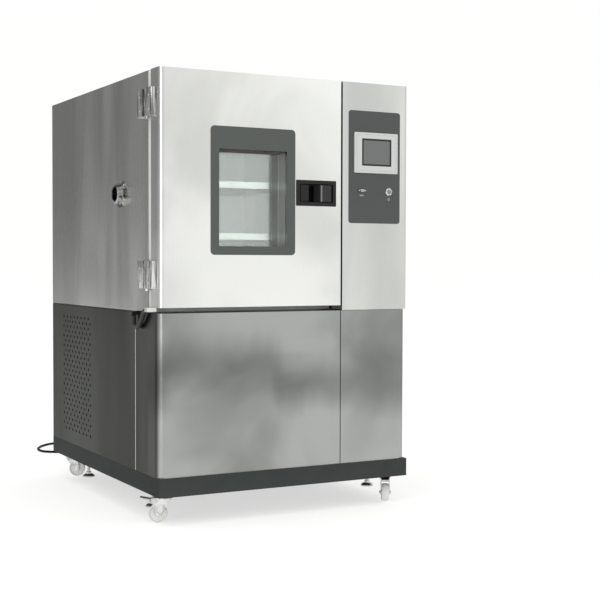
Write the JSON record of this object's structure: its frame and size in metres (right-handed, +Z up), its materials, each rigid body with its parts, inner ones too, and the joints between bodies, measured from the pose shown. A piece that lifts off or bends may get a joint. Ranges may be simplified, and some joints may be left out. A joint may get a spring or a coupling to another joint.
{
  "type": "environmental test chamber",
  "caption": "Stainless steel climate test cabinet on casters with a windowed, latched door, shelves, a control column with touch screen and a side cable port.",
  "frame": {"origin": "on the floor, at the middle of the cabinet's footprint with its cable port", "axes": "+X to the right along the front, +Y into the depth, +Z up"},
  "size_m": [0.9865, 1.948, 1.483],
  "materials": {
    "outer_stainless": "brushed sheet, soft satin",
    "inner_stainless": "bright annealed sheet",
    "plinth_paint": "charcoal powder coat",
    "slate_plate": "slate grey satin paint",
    "chrome": "polished chrome plate",
    "white_nylon": "smooth white nylon",
    "black_plastic": "fine-grained black moulding",
    "silver_plastic": "light silver moulding",
    "screen": "grey display behind clear film",
    "window_glass": "clear glass",
    "black_rubber": "matt black rubber",
    "silicone": "white silicone",
    "foam": "rigid foam",
    "jamb_moulding": "light grey moulding",
    "bare_aluminium": "mill finish",
    "machine_black": "black enamel",
    "zinc_steel": "zinc-plated steel",
    "button_steel": "turned stainless"
  },
  "bodies": {
    "cabinet": {"base_frame": "plinth_paint", "support_frame": "outer_stainless", "outer_casing": "outer_stainless", "door_jamb": "jamb_moulding", "insulation": "foam", "inner_liner": "inner_stainless", "air_duct_panel": "inner_stainless", "shelves": "inner_stainless", "evaporator": "bare_aluminium", "air_heater": "zinc_steel", "circulation_fan_motor": "machine_black", "compressor": "machine_black", "condenser": "bare_aluminium", "condenser_fan_shroud": "machine_black", "left_access_panel": "outer_stainless", "right_access_panel": "outer_stainless", "front_lower_cover": "outer_stainless", "right_lower_cover": "outer_stainless", "control_column_cover": "outer_stainless", "rear_panels": "outer_stainless", "control_fascia": "slate_plate", "touch_screen_bezel": "silver_plastic", "touch_screen": "screen", "power_button_ring": "chrome", "serial_port": "zinc_steel", "cable_port": "chrome", "hinge_body_leaves": "chrome", "mains_gland": "black_plastic", "mains_cord": "black_rubber", "mains_cord_coil": "black_rubber", "mains_plug": "black_plastic", "door_conduit": "black_rubber"},
    "door": {"door_shell": "outer_stainless", "door_insulation": "foam", "door_inner_panel": "inner_stainless", "door_gasket": "silicone", "window_frame": "slate_plate", "window_tunnel": "inner_stainless", "window_panes": "window_glass", "handle_housing": "black_plastic", "hinge_door_leaves": "chrome"},
    "paddle": {"handle_paddle": "black_plastic"},
    "latch": {"latch_lever": "zinc_steel"},
    "button": {"power_button": "button_steel"},
    "chamber_fan": {"circulation_fan": "bare_aluminium"},
    "cooling_fan": {"condenser_fan": "bare_aluminium"},
    "caster_front_left": {"caster_fork_front_left": "chrome"},
    "wheel_front_left": {"caster_wheel_front_left": "white_nylon"},
    "pedal_front_left": {"brake_pedal_front_left": "chrome"},
    "caster_front_right": {"caster_fork_front_right": "chrome"},
    "wheel_front_right": {"caster_wheel_front_right": "white_nylon"},
    "pedal_front_right": {"brake_pedal_front_right": "chrome"},
    "caster_rear_left": {"caster_fork_rear_left": "chrome"},
    "wheel_rear_left": {"caster_wheel_rear_left": "white_nylon"},
    "caster_rear_right": {"caster_fork_rear_right": "chrome"},
    "wheel_rear_right": {"caster_wheel_rear_right": "white_nylon"},
    "foot_front_left": {"levelling_foot_front_left": "chrome"},
    "foot_front_right": {"levelling_foot_front_right": "chrome"},
    "foot_rear_left": {"levelling_foot_rear_left": "chrome"},
    "foot_rear_right": {"levelling_foot_rear_right": "chrome"}
  },
  "joints": [
    {"name": "door_swing", "type": "hinge", "parent": "cabinet", "child": "door", "pos_m": [-0.472, -0.4865, 1.1], "axis": [0, 0, -1], "range_deg": [0, 120], "deforming": ["door_conduit"]},
    {"name": "paddle_pull", "type": "hinge", "parent": "door", "child": "paddle", "pos_m": [0.168, -0.5665, 1.094], "axis": [0, 0, 1], "range_deg": [0, 25], "stiffness_Nm_per_rad": 0.5},
    {"name": "latch_turn", "type": "hinge", "parent": "door", "child": "latch", "pos_m": [0.1805, -0.5185, 1.095], "axis": [0, 0, 1], "range_deg": [0, 12]},
    {"name": "button_press", "type": "slide", "parent": "cabinet", "child": "button", "axis": [0, 1, 0], "range_m": [0, 0.003], "stiffness_N_per_m": 400},
    {"name": "chamber_fan_spin", "type": "hinge", "parent": "cabinet", "child": "chamber_fan", "pos_m": [-0.1245, 0.09, 1.091], "axis": [0, 1, 0], "continuous": true},
    {"name": "cooling_fan_spin", "type": "hinge", "parent": "cabinet", "child": "cooling_fan", "pos_m": [-0.3525, 0.2695, 0.357], "axis": [1, 0, 0], "continuous": true},
    {"name": "caster_swivel_front_left", "type": "hinge", "parent": "cabinet", "child": "caster_front_left", "pos_m": [-0.4125, -0.5005, 0.08], "axis": [0, 0, 1], "continuous": true},
    {"name": "wheel_spin_front_left", "type": "hinge", "parent": "caster_front_left", "child": "wheel_front_left", "pos_m": [-0.43524, -0.48789, 0.032], "axis": [0.4848, 0.8746, 0], "continuous": true},
    {"name": "brake_press_front_left", "type": "hinge", "parent": "caster_front_left", "child": "pedal_front_left", "pos_m": [-0.44617, -0.48183, 0.078], "axis": [-0.4848, -0.8746, 0], "range_deg": [0, 14]},
    {"name": "caster_swivel_front_right", "type": "hinge", "parent": "cabinet", "child": "caster_front_right", "pos_m": [0.4375, -0.5005, 0.08], "axis": [0, 0, 1], "continuous": true},
    {"name": "wheel_spin_front_right", "type": "hinge", "parent": "caster_front_right", "child": "wheel_front_right", "pos_m": [0.42529, -0.52346, 0.032], "axis": [-0.8829, 0.4695, 0], "continuous": true},
    {"name": "brake_press_front_right", "type": "hinge", "parent": "caster_front_right", "child": "pedal_front_right", "pos_m": [0.41943, -0.53449, 0.078], "axis": [0.8829, -0.4695, 0], "range_deg": [0, 14]},
    {"name": "caster_swivel_rear_left", "type": "hinge", "parent": "cabinet", "child": "caster_rear_left", "pos_m": [-0.4125, 0.5005, 0.08], "axis": [0, 0, 1], "continuous": true},
    {"name": "wheel_spin_rear_left", "type": "hinge", "parent": "caster_rear_left", "child": "wheel_rear_left", "pos_m": [-0.38976, 0.48789, 0.032], "axis": [-0.4848, -0.8746, 0], "continuous": true},
    {"name": "caster_swivel_rear_right", "type": "hinge", "parent": "cabinet", "child": "caster_rear_right", "pos_m": [0.4375, 0.5005, 0.08], "axis": [0, 0, 1], "continuous": true},
    {"name": "wheel_spin_rear_right", "type": "hinge", "parent": "caster_rear_right", "child": "wheel_rear_right", "pos_m": [0.46193, 0.50939, 0.032], "axis": [0.342, -0.9397, 0], "continuous": true},
    {"name": "foot_travel_front_left", "type": "slide", "parent": "cabinet", "child": "foot_front_left", "axis": [0, 0, -1], "range_m": [0, 0.036]},
    {"name": "foot_travel_front_right", "type": "slide", "parent": "cabinet", "child": "foot_front_right", "axis": [0, 0, -1], "range_m": [0, 0.036]},
    {"name": "foot_travel_rear_left", "type": "slide", "parent": "cabinet", "child": "foot_rear_left", "axis": [0, 0, -1], "range_m": [0, 0.036]},
    {"name": "foot_travel_rear_right", "type": "slide", "parent": "cabinet", "child": "foot_rear_right", "axis": [0, 0, -1], "range_m": [0, 0.036]}
  ],
  "couplings": [
    {"joint": "latch_turn", "follows": "paddle_pull", "ratio": 0.48}
  ]
}
